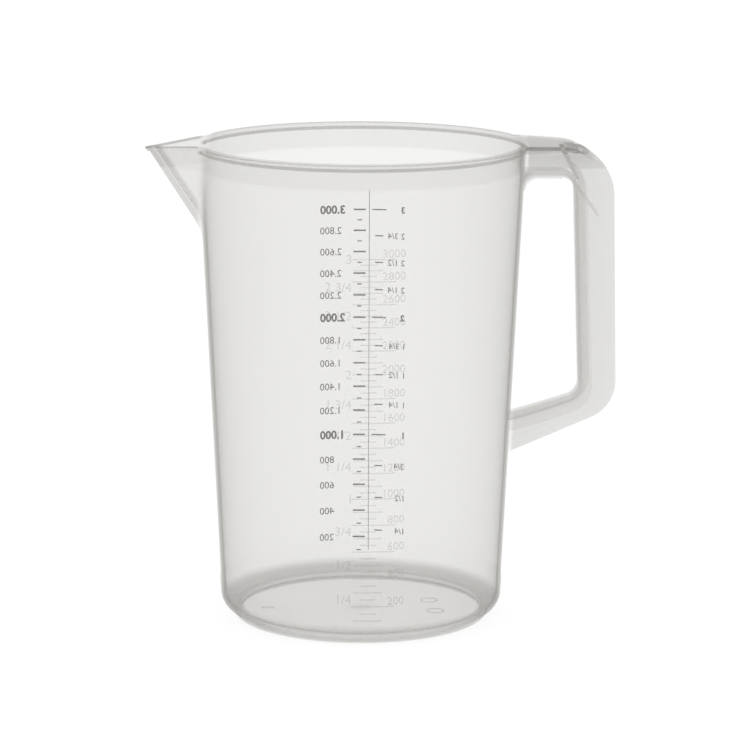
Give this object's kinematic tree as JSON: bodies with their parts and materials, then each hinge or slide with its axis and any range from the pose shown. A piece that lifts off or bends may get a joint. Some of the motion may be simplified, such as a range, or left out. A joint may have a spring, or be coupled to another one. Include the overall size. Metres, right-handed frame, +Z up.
{
  "type": "measuring jug",
  "caption": "Translucent plastic measuring jug with a pointed pouring spout, a closed loop handle, a moulded scale and a printed scale.",
  "frame": {"origin": "on the jug's axis, in the plane of the foot ring it stands on", "axes": "+Z up along the axis, +X towards the handle, -X towards the spout, -Y towards the side with the moulded scale, +Y towards the printed scale"},
  "size_m": [0.2304, 0.163, 0.234],
  "materials": {
    "polypropylene": "translucent natural polypropylene, satin",
    "scale_ink": "dark grey printed ink"
  },
  "bodies": {
    "root": {"wall": "polypropylene", "rim_collar": "polypropylene", "rim_bead": "polypropylene", "base_band": "polypropylene", "heel": "polypropylene", "base_plate": "polypropylene", "foot_ring": "polypropylene", "gate_boss": "polypropylene", "base_marks": "polypropylene", "spout": "polypropylene", "spout_lip": "polypropylene", "handle_top_plate": "polypropylene", "handle_web": "polypropylene", "handle_flange": "polypropylene", "handle_shoulder": "polypropylene", "handle_cross_rib": "polypropylene", "handle_grip": "polypropylene", "handle_elbow": "polypropylene", "handle_lower_arm": "polypropylene", "handle_gusset": "polypropylene", "moulded_lines_50ml": "polypropylene", "moulded_lines_100ml": "polypropylene", "moulded_lines_200ml": "polypropylene", "moulded_figures_ml": "polypropylene", "moulded_figures_litre": "polypropylene", "ink_centre_line": "scale_ink", "ink_lines_ml": "scale_ink", "ink_lines_litre": "scale_ink", "ink_figures_ml": "scale_ink", "ink_figures_litre": "scale_ink"}
  },
  "joints": []
}
